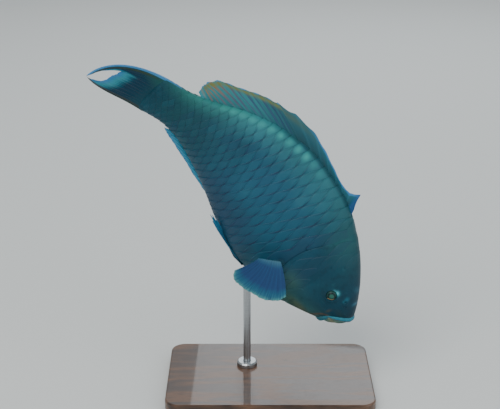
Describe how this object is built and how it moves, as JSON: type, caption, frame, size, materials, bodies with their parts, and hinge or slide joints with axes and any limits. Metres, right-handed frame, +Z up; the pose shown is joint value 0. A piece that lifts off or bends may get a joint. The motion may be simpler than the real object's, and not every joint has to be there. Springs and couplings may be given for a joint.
{
  "type": "parrotfish",
  "caption": "Life-size still parrotfish, head down with its tail swung aside, held by an upright rod on a flat rectangular display base.",
  "frame": {"origin": "middle of the underside of the stand base", "axes": "+Z up, away from the surface that the base stands on; +X towards the side where the snout is, -X towards the tail; the fish shows its right side to -Y"},
  "size_m": [0.2794, 0.1865, 0.3703],
  "materials": {
    "skin": "satin, teal blue with darker scale edges",
    "head_skin": "satin, dark teal to olive",
    "lip": "satin, turquoise",
    "beak_enamel": "polished, cream",
    "eye": "polished",
    "fin": "satin, blue with bright margins",
    "base_wood": "satin, dark stained",
    "rod_metal": "brushed"
  },
  "bodies": {
    "root": {"trunk_front": "skin", "trunk_rear": "skin", "tail_stalk": "skin", "head": "head_skin", "gill_cover_right": "head_skin", "gill_cover_left": "head_skin", "lip_upper": "lip", "lip_lower": "lip", "beak_upper": "beak_enamel", "beak_lower": "beak_enamel", "eye_right": "eye", "eye_left": "eye", "dorsal_fin_spiny": "fin", "dorsal_fin_soft": "fin", "anal_fin": "fin", "tail_fin_upper": "fin", "tail_fin_lower": "fin", "pectoral_fin_right": "fin", "pectoral_fin_left": "fin", "pelvic_fin_right": "fin", "pelvic_fin_left": "fin", "stand_base": "base_wood", "stand_rod": "rod_metal", "stand_collar": "rod_metal"}
  },
  "joints": []
}
